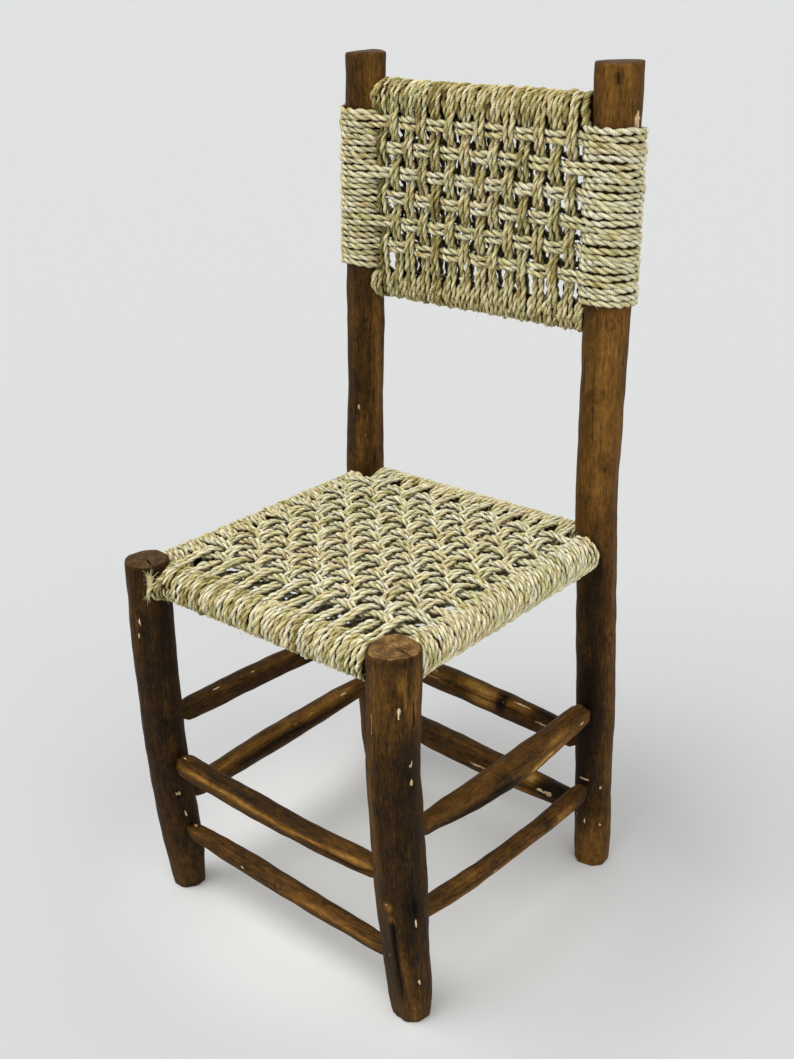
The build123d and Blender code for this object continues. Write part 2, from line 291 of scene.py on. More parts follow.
def seagrassCord():
    # Dried seagrass leaves twisted in two plies. Flat leaf strips lie side by side along each
    # ply, straw to green with a few rusty ones. The groove between the plies and the cords' inner and
    # hidden sides are darkened as painted shade.
    material, tree, shader = newMaterial("twistedSeagrassDry")
    fibre = addNode(tree, "ShaderNodeAttribute", attribute_name="fibre").outputs["Vector"]
    marks = addNode(tree, "ShaderNodeAttribute", attribute_name="cordMarks").outputs["Vector"]
    mark = addNode(tree, "ShaderNodeSeparateXYZ", {0: marks})
    layers = noiseLayers(tree, fibre, [  # threads are drawn coarser than they are, so that they show
        ("leaves", 2.2, 17, 3), ("threads", 1.0, 12, 3), ("tints", 5, 60, 2),
    ])
    long = addNode(tree, "ShaderNodeMapping", {"Vector": fibre, "Scale": (420, 420, 24)})
    strips = addNode(tree, "ShaderNodeTexVoronoi", {"Vector": long.outputs[0], "Scale": 1.0})
    strip = addNode(tree, "ShaderNodeSeparateXYZ", {0: strips.outputs["Color"]})
    layers["strips"] = strip.outputs["X"]
    total = addNode(tree, "ShaderNodeMath", {0: mark.outputs["X"], 1: 0.53}).outputs[0]
    total = weighed(tree, total, layers, [("leaves", 0.55), ("threads", 0.62), ("strips", 0.15)])
    straw = addNode(tree, "ShaderNodeValToRGB", {"Fac": total}, stops=[
        (0.2, "#655626"), (0.35, "#b8a864"), (0.47, "#e9db9f"), (0.6, "#f8eec2"), (0.8, "#fdf8de"),
    ]).outputs[0]
    hue = weighed(tree, layers["tints"], {"cord": mark.outputs["Z"]}, [("cord", 0.17)])
    surface = coats(tree, straw, [
        (hue, 0.5, 0.68, 0.5, linear("#9ba26c")),
        (hue, 0.41, 0.28, 0.6, linear("#c19a68")),
        # painted shade: the groove between the plies and the cords' inner and hidden sides
        (mark.outputs["Y"], 0.0, 1.0, 1.0, linear("#2b240f")),
    ])
    relief = weighed(tree, 0.5, layers, [("leaves", 1.0), ("threads", 1.0)])
    bump = addNode(tree, "ShaderNodeBump", {
        "Strength": 1.0, "Distance": 0.8 * mm, "Height": relief,
    })
    plugIn(tree, shader, {
        "Base Color": surface, "Roughness": 0.62, "Normal": bump.outputs[0],
        "IOR": 1.45, "Specular IOR Level": 0.1,
    })
    return material


branchWood = stainedBranch()
rodWood = bareBranch()
seagrass = seagrassCord()
endFace = 0.3  # points this near to the end of a solid are on its end face


def nodeOf(name):  # "frontRail" stands for the node front_rail
    return "".join("_" + letter.lower() if letter.isupper() else letter for letter in name)


def nodeMesh(node):
    mesh = frame["nodes"][node].data
    points = np.empty(len(mesh.vertices) * 3)
    mesh.vertices.foreach_get("co", points)
    edges = np.empty(len(mesh.edges) * 2, int)
    mesh.edges.foreach_get("vertices", edges)
    return points.reshape(-1, 3), edges.reshape(-1, 2)


def unit(vector):
    return vector / np.linalg.norm(vector, axis=-1, keepdims=True)


def circleAt(points, edges, place, axis, across):
    # centre and radius of a solid's outside where a plane cuts it
    height = (points - place) @ axis
    low, high = height[edges[:, 0]], height[edges[:, 1]]
    cut = low * high < 0
    share = (low[cut] / (low[cut] - high[cut]))[:, None]
    hits = points[edges[cut, 0]] * (1 - share) + points[edges[cut, 1]] * share - place
    other = np.cross(axis, across)
    x, y = hits @ across, hits @ other
    middleX, middleY = (x.min() + x.max()) / 2, (y.min() + y.max()) / 2
    for attempt in range(3):  # leaves the walls of a mortise out
        away = np.hypot(x - middleX, y - middleY)
        keep = away > 0.9 * away.max()
        terms = np.c_[2 * x[keep], 2 * y[keep], np.ones(keep.sum())]
        squares = x[keep] ** 2 + y[keep] ** 2
        middleX, middleY, rest = np.linalg.lstsq(terms, squares, rcond=None)[0]
    radius = math.sqrt(rest + middleX ** 2 + middleY ** 2)
    return place + across * middleX + other * middleY, radius


def slicesOf(node, start, axis, across, places):
    # centres and radii of a solid's outside at places along a line
    points, edges = nodeMesh(node)
    cuts = [circleAt(points, edges, start + axis * at, axis, across) for at in places]
    return [np.array(values) for values in zip(*cuts)]


def endsOf(node):
    # the middles of a cross piece's two end faces
    points, edges = nodeMesh(node)
    long = np.argmax(np.ptp(points, axis=0))
    axis = np.eye(3)[long]
    for attempt in range(3):
        height = points @ axis
        low = points[height < height.min() + endFace * mm].mean(0)
        high = points[height > height.max() - endFace * mm].mean(0)
        axis = unit(high - low)
    return low, high


def newPiece(name, points, faces, material, nodes, smooth=True):
    mesh = bpy.data.meshes.new(name)
    mesh.from_pydata(points.tolist(), [], faces)
    if smooth:
        mesh.shade_smooth()
    piece = bpy.data.objects.new(name, mesh)
    bpy.context.collection.objects.link(piece)
    return finishPiece(piece, material, nodes)


def finishPiece(piece, material, nodes):
    piece.data.materials.append(material)
    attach(piece, "root")
    if nodes:
        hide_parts(*nodes)
    return piece


def addField(piece, name, values):
    # values for each point that the piece's material reads
    kind = "FLOAT_VECTOR" if values.ndim == 2 else "FLOAT"
    field = piece.data.attributes.new(name, kind, "POINT")
    field.data.foreach_set("vector" if values.ndim == 2 else "value", values.ravel())


print("branches")

wood = {
    "columns": 56,  # faces round a branch
    "ringStep": 2.6,
    "rim": 1.6,  # rounding of a sawn end
    "endRings": 5,  # of faces on a sawn end, and the width of each as a share of the radius
    "endRingWidth": 0.155,
    "postSlices": 12,  # how far apart a solid is measured
    "rungSlices": 4,
    "letIn": 20,  # a rung that ends this near to a post's middle is let into it
    "flatFade": 60,  # lengths over which marks end
    "crackFade": 6,
    "streakFade": 40,
    "crackSway": (0.05, 23),  # how far a mark wanders, in radians, and over what length
    "streakSway": (0.12, 37),
    "knifeTone": 0.03,  # how much lighter the knife leaves the wood
    "strokeAim": 0.25,  # unevenness of the strokes, as shares
    "strokeReach": (0.7, 1.1),
    "strokeDepth": (0.3, 1),
    "crackDepth": (1.1, 0.4),  # as a share of its width, and more
    "knotRise": 0.1,  # height and hollow as shares of a knot's size
    "knotPit": 0.08,
    "knotTone": 0.26,
    "knotRing": 0.07,
    "chipDepth": 0.6,
    "splitWidth": 1.3,
    "splitDepth": 2.0,
    "endDepth": 0.4,  # points this near to an end are on its sawn face
    "bumps": [  # times round, length along and height
        (1, 190, 0.25), (1, 90, 0.08), (2, 130, 0.2), (2, 55, 0.1), (3, 75, 0.16),
        (4, 48, 0.12), (6, 40, 0.1), (9, 26, 0.07),
    ],
}

# Marks on a branch are at a height, or a distance along a rung, and an angle round it: from +X
# towards +Y on a post, and from level to up on a rung. All have mm and degrees.
#   knots: place, angle, size, lightness        chips: place, angle, half length, half width
#   cracks: from, to, angle, width at the start, middle and end
#   streaks: from, to, angle, half width, how much lighter        flats: angle, from, to, depth
posts = {
    "frontLeftLeg": {
        "seed": 11, "endTone": -0.09, "tone": -0.05, "foot": 50,
        "knots": [(405, -72, 9, 0.45), (382, -76, 8, 0.5), (250, -30, 14, 0.1),
                  (150, -37, 10, 0.4), (320, -60, 6, 0.4)],
        "chips": [(399, -73, 6, 1.7), (380, -76, 4, 1.5), (152, -24, 3, 1.4), (119, -14, 5, 1.5)],
        "cracks": [(215, 330, -28, 0, 0.5, 0), (128, 165, -25, 0, 1.8, 0),
                   (330, 440, -88, 0, 0.6, 0)],
        "streaks": [(330, 465, -95, 9, 0.08), (400, 455, -60, 12, 0.05), (90, 420, -5, 9, -0.06),
                    (0, 60, -60, 20, 0.03)],
        "flats": [(-120, 140, 330, 0.9), (-20, 60, 300, 0.8)],
        "split": (-25, 0.55),
    },
    "frontRightLeg": {
        "seed": 12, "endTone": 0.09, "tone": -0.01, "foot": 30,
        "knots": [(411, -40, 9, 0.7), (166, -80, 12, 0.75), (148, -74, 12, 0.55),
                  (163, -23, 8, 0.0), (105, -58, 8, 0.5), (92, -28, 7, 0.55), (235, -28, 9, 0.5)],
        "chips": [(411, -39, 5, 2.2), (404, -37, 3, 1.4), (345, -9, 5, 1.9), (322, -9, 4, 1.9),
                  (143, -20, 6, 1.6), (60, -20, 4, 1.1), (168, -82, 2, 1.4), (385, -101, 26, 0.9)],
        "cracks": [(40, 146, -70, 1.6, 3.4, 5.2), (150, 176, -24, 0, 4.5, 1), (355, 446, -10, 0, 1.4, 0),
                   (385, 440, -2, 0, 1.2, 0), (200, 330, -84, 0, 0.8, 0), (240, 320, -44, 0, 0.4, 0)],
        "streaks": [(388, 452, 1, 7, 0.2), (405, 452, -20, 2, 0.2), (432, 450, -42, 2, 0.2),
                    (200, 455, -104, 8, 0.08), (100, 380, -45, 28, -0.07),
                    (40, 140, -56, 7, 0.09), (150, 340, -12, 10, -0.08), (300, 460, -65, 14, 0.06),
                    (140, 172, -76, 8, 0.12), (0, 40, -40, 22, 0.07), (215, 250, -25, 4, 0.12),
                    (0, 140, -100, 12, -0.06)],
        "flats": [(-102, -60, 150, 2.4), (-5, 40, 300, 0.9), (-118, 150, 330, 0.9)],
        "ridge": (48, 3.2), "split": (-8, 0.5),
    },
    "backLeftPost": {
        "seed": 13, "endTone": -0.1, "tone": 0.02, "foot": 30,
        "knots": [(555, -70, 9, 0.6), (668, -50, 9, 0.4), (300, -60, 10, 0.2)],
        "chips": [(556, -72, 4, 1.4)],
        "cracks": [(462, 500, -20, 0, 2.2, 0), (580, 690, -35, 0, 0.7, 0), (930, 995, -75, 0, 0.7, 0)],
        "streaks": [(520, 700, -8, 8, 0.1), (480, 640, -95, 8, -0.06), (930, 1000, -15, 10, 0.08),
                    (480, 560, -60, 8, 0.09)],
        "flats": [(-100, 480, 720, 0.8), (0, 500, 980, 0.9), (-40, 920, 1010, 1.0)],
        "ridge": (20, 1.5),
    },
    "backRightPost": {
        "seed": 14, "endTone": -0.08, "tone": 0.05, "foot": 24,
        "knots": [(984, -58, 6, 0.1), (722, -48, 8, 0.4), (560, -40, 12, 0.3), (330, -12, 9, 0.5),
                  (640, -70, 10, 0.35)],
        "chips": [(131, -88, 1.8, 6.5), (119, -32, 2.4, 1.5), (68, -85, 5, 1.3), (64, -32, 2, 1.2),
                  (72, -124, 3, 1.2), (938, -4, 12, 4), (330, -30, 3, 1)],
        "cracks": [(978, 990, -58, 0, 2.2, 0), (425, 450, -62, 0, 1.8, 0), (560, 690, -80, 0, 0.5, 0)],
        "streaks": [(500, 740, -40, 26, 0.09), (60, 300, -100, 14, -0.12), (140, 460, -75, 16, -0.09),
                    (130, 470, -10, 12, 0.03), (930, 1010, -40, 24, 0.07), (0, 66, -50, 26, 0.05),
                    (60, 440, -45, 14, -0.05)],
        "flats": [(-60, 500, 720, 0.9), (10, 300, 620, 0.8), (-85, 930, 1010, 1.1)],
        "ridge": (-50, 1.2),
    },
}
rungs = {
    "frontUpperRung": {
        "seed": 21, "tone": 0.02,
        "knots": [(90, 40, 9, 0.5)], "chips": [(27, 78, 4, 1.2)],
        "cracks": [(230, 352, 4, 0.4, 3.0, 1.0), (30, 150, 45, 0, 0.7, 0)],
        "streaks": [(30, 345, 24, 3.5, 0.22), (60, 250, 70, 6, -0.08)], "flats": [(75, 20, 330, 0.9)],
    },
    "frontLowerRung": {
        "seed": 22, "tone": 0.02,
        "knots": [(180, 30, 7, 0.5)], "chips": [(24, 85, 4, 1.8), (120, 10, 4, 1)],
        "cracks": [(60, 200, 60, 0, 0.7, 0)],
        "streaks": [(40, 330, 80, 5, 0.05), (200, 340, 20, 4, 0.14)], "flats": [(40, 30, 330, 0.8)],
    },
    "backUpperRung": {
        "seed": 23, "tone": 0.02,
        "knots": [(150, 20, 10, 0.45), (228, 60, 9, 0.2)],
        "chips": [(262, 70, 16, 1.2), (300, 25, 12, 1.2), (215, 62, 12, 1.0), (110, 60, 10, 1.2)],
        "cracks": [(90, 330, 28, 0.4, 1.8, 0.4), (200, 260, 68, 0, 1.0, 0)],
        "streaks": [(165, 232, 60, 9, 0.28), (182, 222, 8, 8, 0.3), (240, 275, 45, 8, 0.18),
                    (60, 140, 30, 6, 0.14), (226, 240, 40, 14, -0.25), (290, 350, 75, 9, -0.2)],
        "flats": [(60, 20, 340, 1.0)],
    },
    "backLowerRung": {
        "seed": 24, "tone": 0.0,
        "knots": [(240, 50, 9, 0.3)],
        "chips": [(205, 2, 24, 1.8), (301, 22, 5, 1.8), (313, 20, 8, 2.8)],
        "cracks": [(160, 250, -9, 0.4, 2.0, 0.4), (90, 200, 50, 0, 0.6, 0)],
        "streaks": [(232, 246, 40, 11, 0.34), (250, 262, 40, 13, -0.25), (262, 292, 50, 10, 0.32),
                    (60, 330, 75, 7, 0.06), (200, 300, -15, 5, 0.16), (296, 350, 60, 12, -0.16)],
        "flats": [(55, 20, 340, 1.1)],
    },
    "leftUpperRung": {
        "seed": 25, "tone": -0.02,
        "knots": [(120, 60, 8, 0.4)],
        "chips": [(75, 64, 5, 0.9), (140, 58, 4, 0.9)],
        "cracks": [(60, 260, 30, 0, 0.7, 0)],
        "streaks": [(60, 330, 45, 5, 0.08)], "flats": [(70, 20, 340, 0.9)],
    },
    "leftLowerRung": {
        "seed": 26, "tone": 0.02,
        "knots": [(200, 40, 9, 0.45)], "chips": [(300, 50, 7, 1.6)],
        "cracks": [(120, 220, 20, 0, 1.6, 0)],
        "streaks": [(40, 330, 55, 5, 0.14), (100, 300, 10, 5, -0.1), (180, 300, 80, 5, 0.12)],
        "flats": [(45, 20, 340, 1.0)],
    },
    "rightUpperRung": {
        "seed": 27, "tone": 0.06,
        "knots": [(150, 15, 15, 0.1)],
        "chips": [(314, 6, 5, 1.0), (256, 35, 3, 0.7)],
        "cracks": [(120, 185, 2, 0, 2.2, 0), (60, 130, -12, 0, 1.2, 0)],
        "streaks": [(195, 300, -18, 6, 0.12), (240, 282, 32, 4, 0.16), (40, 140, 40, 9, 0.03),
                    (224, 247, -6, 1.6, 0.3), (202, 223, -12, 1.5, 0.3),
                    (30, 180, -15, 7, -0.16), (290, 340, 60, 9, -0.04)],
        "flats": [(80, 20, 340, 1.3), (10, 60, 330, 1.0)],
    },
    "rightLowerRung": {
        "seed": 28, "tone": 0.03,
        "knots": [(110, 30, 6, 0.5), (262, 20, 5, 0.2)], "chips": [(140, -10, 5, 0.9)],
        "cracks": [(30, 200, 18, 0, 0.7, 0)],
        "streaks": [(255, 300, 15, 6, 0.18), (30, 250, -25, 4, 0.12), (240, 256, 30, 8, -0.12),
                    (60, 120, 50, 6, 0.08)],
        "flats": [(70, 20, 330, 0.8)],
    },
}
# "clear" is how far inside an end the solid is first measured
rungEnd = {"reach": 46, "depth": 5.5, "strokes": 5, "clear": 0.3}
footEnd = {"depth": 2.4, "strokes": 8, "clear": 0.6}
topEnd = {"reach": 6, "depth": 2.6, "strokes": 8, "clear": 2.5}
paintedJointShade = {"size": 20, "tone": -0.07}  # painted shade round a mortise, where a rung is let into the post


def straightStick(name, length, radius):
    # a round rod with rounded rims, rings of faces on its sawn ends and many along its side
    bpy.ops.object.select_all(action="DESELECT")
    bpy.ops.mesh.primitive_cylinder_add(
        vertices=wood["columns"], radius=radius, depth=length, location=(0, 0, length / 2)
    )
    stick = bpy.context.object
    stick.name = name
    bpy.ops.object.transform_apply(location=True, rotation=False, scale=False)
    bpy.ops.object.mode_set(mode="EDIT")
    shape = bmesh.from_edit_mesh(stick.data)
    bpy.ops.mesh.select_mode(type="EDGE")
    bpy.ops.mesh.select_all(action="DESELECT")
    for edge in shape.edges:
        edge.select_set(abs(edge.verts[0].co.z - edge.verts[1].co.z) < length / 2)
    bpy.ops.mesh.bevel(offset=wood["rim"] * mm, segments=3, affect="EDGES")
    bpy.ops.mesh.select_mode(type="FACE")
    bpy.ops.mesh.select_all(action="DESELECT")
    shape = bmesh.from_edit_mesh(stick.data)
    for face in shape.faces:
        face.select_set(len(face.verts) == wood["columns"])
    for ring in range(wood["endRings"]):
        bpy.ops.mesh.inset(thickness=radius * wood["endRingWidth"], use_individual=True)
    bpy.ops.mesh.poke()
    bpy.ops.mesh.select_mode(type="EDGE")
    cuts = round(math.sqrt(length / (wood["ringStep"] * mm)))
    for reach in (length / 2, length / (cuts + 3)):
        bpy.ops.mesh.select_all(action="DESELECT")
        shape = bmesh.from_edit_mesh(stick.data)
        for edge in shape.edges:
            edge.select_set(abs(edge.verts[0].co.z - edge.verts[1].co.z) > reach)
        bpy.ops.mesh.subdivide(number_cuts=cuts - 1)
    bpy.ops.object.mode_set(mode="OBJECT")
    bpy.ops.object.shade_smooth()
    return stick


def betweenEdges(value, low, high, soft):
    # one between low and high, falling to nought over soft at each side
    return np.clip((value - low) / soft + 0.5, 0, 1) * np.clip((high - value) / soft + 0.5, 0, 1)


def turnFrom(angle, aim):
    return (angle - aim + math.pi) % fullTurn - math.pi


def swaying(turned, along, sway, reach):
    # the angle of a mark that wanders on its way along a branch
    return math.radians(turned) + sway * np.sin(along / reach + turned)


def strokesOf(knife, fromEnd, angle, girth, dice):
    # how deep short strokes of the knife have cut a branch near its end
    cut = np.zeros(len(angle))
    for stroke in range(knife["strokes"]):
        swing = dice.uniform(-wood["strokeAim"], wood["strokeAim"])
        aim = fullTurn * (stroke + swing) / knife["strokes"]
        reach = knife["reach"] * dice.uniform(*wood["strokeReach"])
        depth = knife["depth"] * dice.uniform(*wood["strokeDepth"])
        depth = depth * np.clip(1 - fromEnd / reach, 0, 1)
        off = np.clip(turnFrom(angle, aim), -1, 1)
        cut = np.minimum(cut, np.where(depth > 0, (girth - depth) / np.cos(off) - girth, 0))
    return cut


def mortisesOf(heights, centres):
    # heights and angles at which rungs are let into a post
    found = []
    for rung in rungs:
        ends = endsOf(nodeOf(rung))
        for end, other in (ends, ends[::-1]):
            middle = [np.interp(end[2], heights, centres[:, k]) for k in range(2)]
            if np.hypot(*(end[:2] - middle)) < wood["letIn"] * mm:
                found.append((end[2] / mm, math.atan2(*(other - end)[1::-1])))
    return found


def openCracks(spec, along, angle, spread, girth):
    # drying cracks: moved angles, how deep the points lie and how dark they are; the dark is painted
    # shade inside the crack
    column = fullTurn / wood["columns"]
    ofWidth, more = wood["crackDepth"]
    aimed = angle.copy()
    lift, dark = np.zeros(len(along)), np.zeros(len(along))
    for low, high, at, *widths in spec["cracks"]:
        share = (along - low) / (high - low)
        width = np.interp(share, (0, 0.5, 1), widths)
        width = width * betweenEdges(along, low, high, wood["crackFade"])
        wander = swaying(at, along, *wood["crackSway"])
        off = np.round(turnFrom(angle, wander) / column)
        target = wander + off * width * 0.5 / girth
        near = (np.abs(off) <= 1) & (width > 0.05) & (spread > 0.9)
        pull = np.clip(width / 0.4, 0, 1)
        aimed[near] = (angle + turnFrom(target, angle) * pull)[near]
        deep = (off == 0) & near
        lift[deep] -= (ofWidth * width + more)[deep]
        dark[near] = np.maximum(dark, 0.95 * pull * np.where(off == 0, 1, width / 7))[near]
    return aimed, lift, dark


def workMarks(spec, along, angle, spread, girth, knives, jointShadeSpots, lift, dice):
    # adds bumps, cuts, knots and chips to lift, and gives the wood's lightness and bare spots
    tone = np.full(len(along), float(spec["tone"]))
    bare = np.zeros(len(along))
    for times, reach, height in wood["bumps"]:
        lean, start = dice.choice([-1, 1]), dice.uniform(0, fullTurn)
        lift += height * np.sin(times * angle + lean * fullTurn * along / reach + start)
    for at, low, high, depth in spec["flats"]:  # one long stroke of the knife each
        off = np.clip(turnFrom(angle, math.radians(at)), -1.2, 1.2)
        cut = np.minimum((girth - depth) / np.cos(off) - girth, 0)
        lift += cut * betweenEdges(along, low, high, wood["flatFade"])
        tone += wood["knifeTone"] * (cut < 0) * betweenEdges(along, low, high, wood["flatFade"])
    for knife, atTop in knives:
        fromEnd = along.max() - along if atTop else along
        lift += strokesOf(knife, fromEnd, angle, girth, dice)
        tone += wood["knifeTone"] * np.clip(1 - fromEnd / knife["reach"], 0, 1)
    for at, turned, size, pale in spec["knots"]:
        off = np.hypot(turnFrom(angle, math.radians(turned)) * girth, (along - at) * 0.8) / size
        lift += (size * wood["knotRise"] * np.exp(-2.2 * off ** 2)
                 - size * wood["knotPit"] * np.exp(-18 * off ** 2))
        tone += wood["knotTone"] * (pale - 0.35) * np.exp(-3 * off ** 2)
        tone -= wood["knotRing"] * np.exp(-20 * (off - 0.6) ** 2)
    # painted shade round each joint, where a rung is let into the post
    for at, turned in jointShadeSpots:
        off = np.hypot(turnFrom(angle, turned) * girth, along - at) / paintedJointShade["size"]
        tone += paintedJointShade["tone"] * np.exp(-off ** 2)
    for at, turned, reach, width in spec["chips"]:
        off = np.hypot(turnFrom(angle, math.radians(turned)) * girth / width, (along - at) / reach)
        chip = np.clip(1.15 - 0.65 * off, 0, 1) * (spread > 0.9)
        lift -= wood["chipDepth"] * np.clip(chip * 2 - 0.6, 0, 1)
        bare = np.maximum(bare, chip)
    for low, high, turned, width, gain in spec["streaks"]:
        wander = swaying(turned, along, *wood["streakSway"])
        off = turnFrom(angle, wander) * girth / width
        soft = min(wood["streakFade"], (high - low) / 2)
        tone += gain * np.exp(-off ** 2) * betweenEdges(along, low, high, soft)
    return tone, bare


def shapeBranch(stick, spec, radius, centres, radii, places, sideA, sideB, knives, jointShadeSpots):
    # bends the rod along its branch and works the marks of the knife and of nature into it
    flat = np.empty(len(stick.data.vertices) * 3)
    stick.data.vertices.foreach_get("co", flat)
    rod = flat.reshape(-1, 3)
    along = rod[:, 2] / mm
    length = along.max()
    spread = np.hypot(rod[:, 0], rod[:, 1]) / radius
    angle = np.arctan2(rod[:, 1], rod[:, 0])
    girth = np.interp(along, places, radii)
    angle, lift, dark = openCracks(spec, along, angle, spread, girth)
    tone, bare = workMarks(spec, along, angle, spread, girth, knives, jointShadeSpots, lift,
                           np.random.default_rng(spec["seed"]))
    reach = (girth + lift) * spread * mm
    middle = np.stack([np.interp(along, places, centres[:, k]) for k in range(3)], 1)
    points = middle + np.outer(reach * np.cos(angle), sideA) + np.outer(reach * np.sin(angle), sideB)
    face = wood["endDepth"]
    sawn = ((along < face) | (along > length - face)) & (spread < 0.97)
    tone[sawn] = spec.get("endTone", 0)
    top = along > length - 2 * wood["rim"]
    if "ridge" in spec:  # two saw cuts from two sides met here
        aim, height = spec["ridge"]
        off = reach / mm * np.cos(angle - math.radians(aim))
        points[:, 2] -= np.where(top, height * np.clip(np.abs(off - 3) / girth, 0, 1), 0) * mm
    if "split" in spec:  # the end has dried and split from its heart
        turned, share = spec["split"]
        off = np.abs(turnFrom(angle, math.radians(turned))) * spread * girth
        split = (along > length - face) & (off < wood["splitWidth"])
        split &= (spread < share + 0.4) & (spread > 0.05)
        points[split, 2] -= wood["splitDepth"] * mm
        # painted shade inside the split
        dark[split] = 0.9
    stick.data.vertices.foreach_set("co", points.ravel())
    stick.data.update()
    nap = np.stack([reach * np.cos(angle), reach * np.sin(angle), along * mm], 1)
    addField(stick, "grain", nap + [0, 0, spec["seed"] * 0.37])
    addField(stick, "marks", np.stack([tone, bare, dark], 1))
    addField(stick, "sawnEnd", sawn.astype(float))


def makeBranch(name, spec, centres, radii, places, sideA, sideB, knives, jointShadeSpots=()):
    stick = straightStick(name, places[-1], radii.mean())
    shapeBranch(stick, spec, radii.mean(), centres, radii / mm, places / mm, sideA, sideB,
                knives, jointShadeSpots)
    finishPiece(stick, branchWood, [nodeOf(name)])


def makePost(name, spec):
    height = nodeMesh(nodeOf(name))[0][:, 2].max()
    places = np.linspace(footEnd["clear"] * mm, height - topEnd["clear"] * mm,
                         round(height / (wood["postSlices"] * mm)))
    centres, radii = slicesOf(nodeOf(name), np.zeros(3), upwards, toRight, places)
    places[0], places[-1] = 0, height
    for values in (centres, radii):  # rounds the corners between the straight stretches
        values[1:-1] = (values[:-2] + 2 * values[1:-1] + values[2:]) / 4
    centres[:, 2] = places
    knives = [({**footEnd, "reach": spec["foot"]}, False), (topEnd, True)]
    makeBranch(name, spec, centres, radii, places, toRight, toBack, knives,
               mortisesOf(places, centres))


def makeRung(name, spec):
    low, high = endsOf(nodeOf(name))
    axis = unit(high - low)
    level = unit(np.array([axis[1], -axis[0], 0]))
    length = np.linalg.norm(high - low)
    places = np.linspace(rungEnd["clear"] * mm, length - rungEnd["clear"] * mm,
                         round(length / (wood["rungSlices"] * mm)))
    centres, radii = slicesOf(nodeOf(name), low, axis, level, places)
    places[0], places[-1] = 0, length
    centres[0], centres[-1] = low, high
    makeBranch(name, spec, centres, radii, places, level, np.cross(level, axis),
               [(rungEnd, False), (rungEnd, True)])


for name, spec in posts.items():
    makePost(name, spec)
for name, spec in rungs.items():
    makeRung(name, spec)

rods = ["front_seat_rail", "back_seat_rail", "left_seat_rail", "right_seat_rail",
        "top_back_bar", "bottom_back_bar"]
for node in rods:
    rod = frame["nodes"][node]
    if not rod.material_slots:
        rod.data.materials.append(rodWood)
    for socket in rod.material_slots:
        socket.material = rodWood

print("cords")

cord = {
    "lay": 25.0,  # length of one whole twist
    "ringsPerLay": 8,
    "ply": 0.6,  # radius of a ply as a share of the cord's
    "wide": 1.1,  # pressed flatter against what it lies on
    "low": 0.93,
    "wrapGap": 0.2,
    "slant": 1.6,  # half of how far a turn drifts on its way round
    # unevenness, and the shortest length over which it changes
    "wander": (0.55, 60),  # sideways
    "heave": (0.22, 30),  # outwards
    "fullness": (0.075, 25),  # as a share of the cord's thickness
    "plies": (0.13, 30),  # as a share of each ply's thickness
    "phase": (0.4, 80),  # of the twist, in radians
    "fade": (0.05, 25),  # of the tone
    "toneChange": 0.05,  # from cord to cord
    "levelChange": 0.3,  # from crossing to crossing
    "spotChange": 0.3,  # from turn to turn: along the branch and away from it
    "radiusChange": 0.25,
    "slantChange": (0.6, 1.4),
    # where light seldom gets: how fast it darkens, from where, and the most
    "innerShade": (3.0, 0.05, 0.93),
    "sideShade": (2.4, 0.7, 0.65),
    # points along a pair's run, round half a turn at its end and round a spacer turn
    "runPoints": 170,
    "halfTurnPoints": 30,
    "turnPoints": 60,
}
# "over" and "under" are how far a pair rises and dips at what it crosses, "flat" is half of how
# long it stays there, and "lead" is how long it runs level at each end.
seat = {
    "warps": 13, "firstWarp": -147.5, "warpPitch": 24.7,
    "wefts": 12, "firstWeft": -143.4, "weftPitch": 25.8,
    "over": 3.7, "under": 2.9, "flat": 2.5, "lead": 9.0,
    "thick": 6.9,
    "apart": 2.6,  # how far a pair's cords part on the underside, and move along
    "moved": 9.0,
    "shift": 0.6, "spacing": (0.95, 1.03),  # unevenness of a pair's place and of its cords'
    "tone": 0.07,
}
back = {
    "warps": 14, "firstWarp": -132.0, "warpPitch": 21.0,
    "wefts": 6, "firstWeft": 771.4, "weftPitch": 29.6,
    "over": 3.5, "under": 2.9, "flat": 2.2, "lead": 6.0,
    "thick": 6.9, "weftThick": 7.6,
    "posts": (755, 905),  # heights between which the posts are taken as straight
    "apart": 1.0,
    "moved": (9.0, 1.5), "weftMoved": 3.0,  # on the rear, at the first warp and the last
    "shift": 0.7, "spacing": (0.94, 1.06), "weftShift": 0.3, "weftSpacing": (0.97, 1.06),
    "tone": -0.07, "weftTone": 0.05,
}
hug = {"bow": 4.0, "fade": 9.0, "crowd": 0.45}  # turns crowd against a post
dice = np.random.default_rng(5)


def cordSection():
    # two plies that press on each other, as points round a cord of radius 1; the first and
    # seventh lie in the groove, with their neighbours close by
    off = 1 - cord["ply"]
    turns = math.acos(-off / cord["ply"]) * np.array([-1, -0.84, -0.42, 0, 0.42, 0.84])
    one = np.stack([off + cord["ply"] * np.cos(turns), cord["ply"] * np.sin(turns)], 1)
    return np.vstack([one, -one])


section = cordSection()
# painted shade in the groove between the plies, darkest at its bottom
grooveShade = np.array([0.88, 0.22, 0, 0, 0, 0.22] * 2)


def drift(at, length, kind, scale=1.0):
    # smooth unevenness that closes on itself over a length
    size, shortest = cord[kind]
    waves = max(1, round(length / (shortest * mm)))
    total = np.zeros(len(at))
    for wave in range(1, waves + 1):
        total += dice.normal() * np.sin(fullTurn * (wave * at / length + dice.uniform()))
    return total * (size * scale) / math.sqrt(waves / 2)


def shaded(value, slope, start, most):
    return np.clip(slope * (value - start), 0, most)


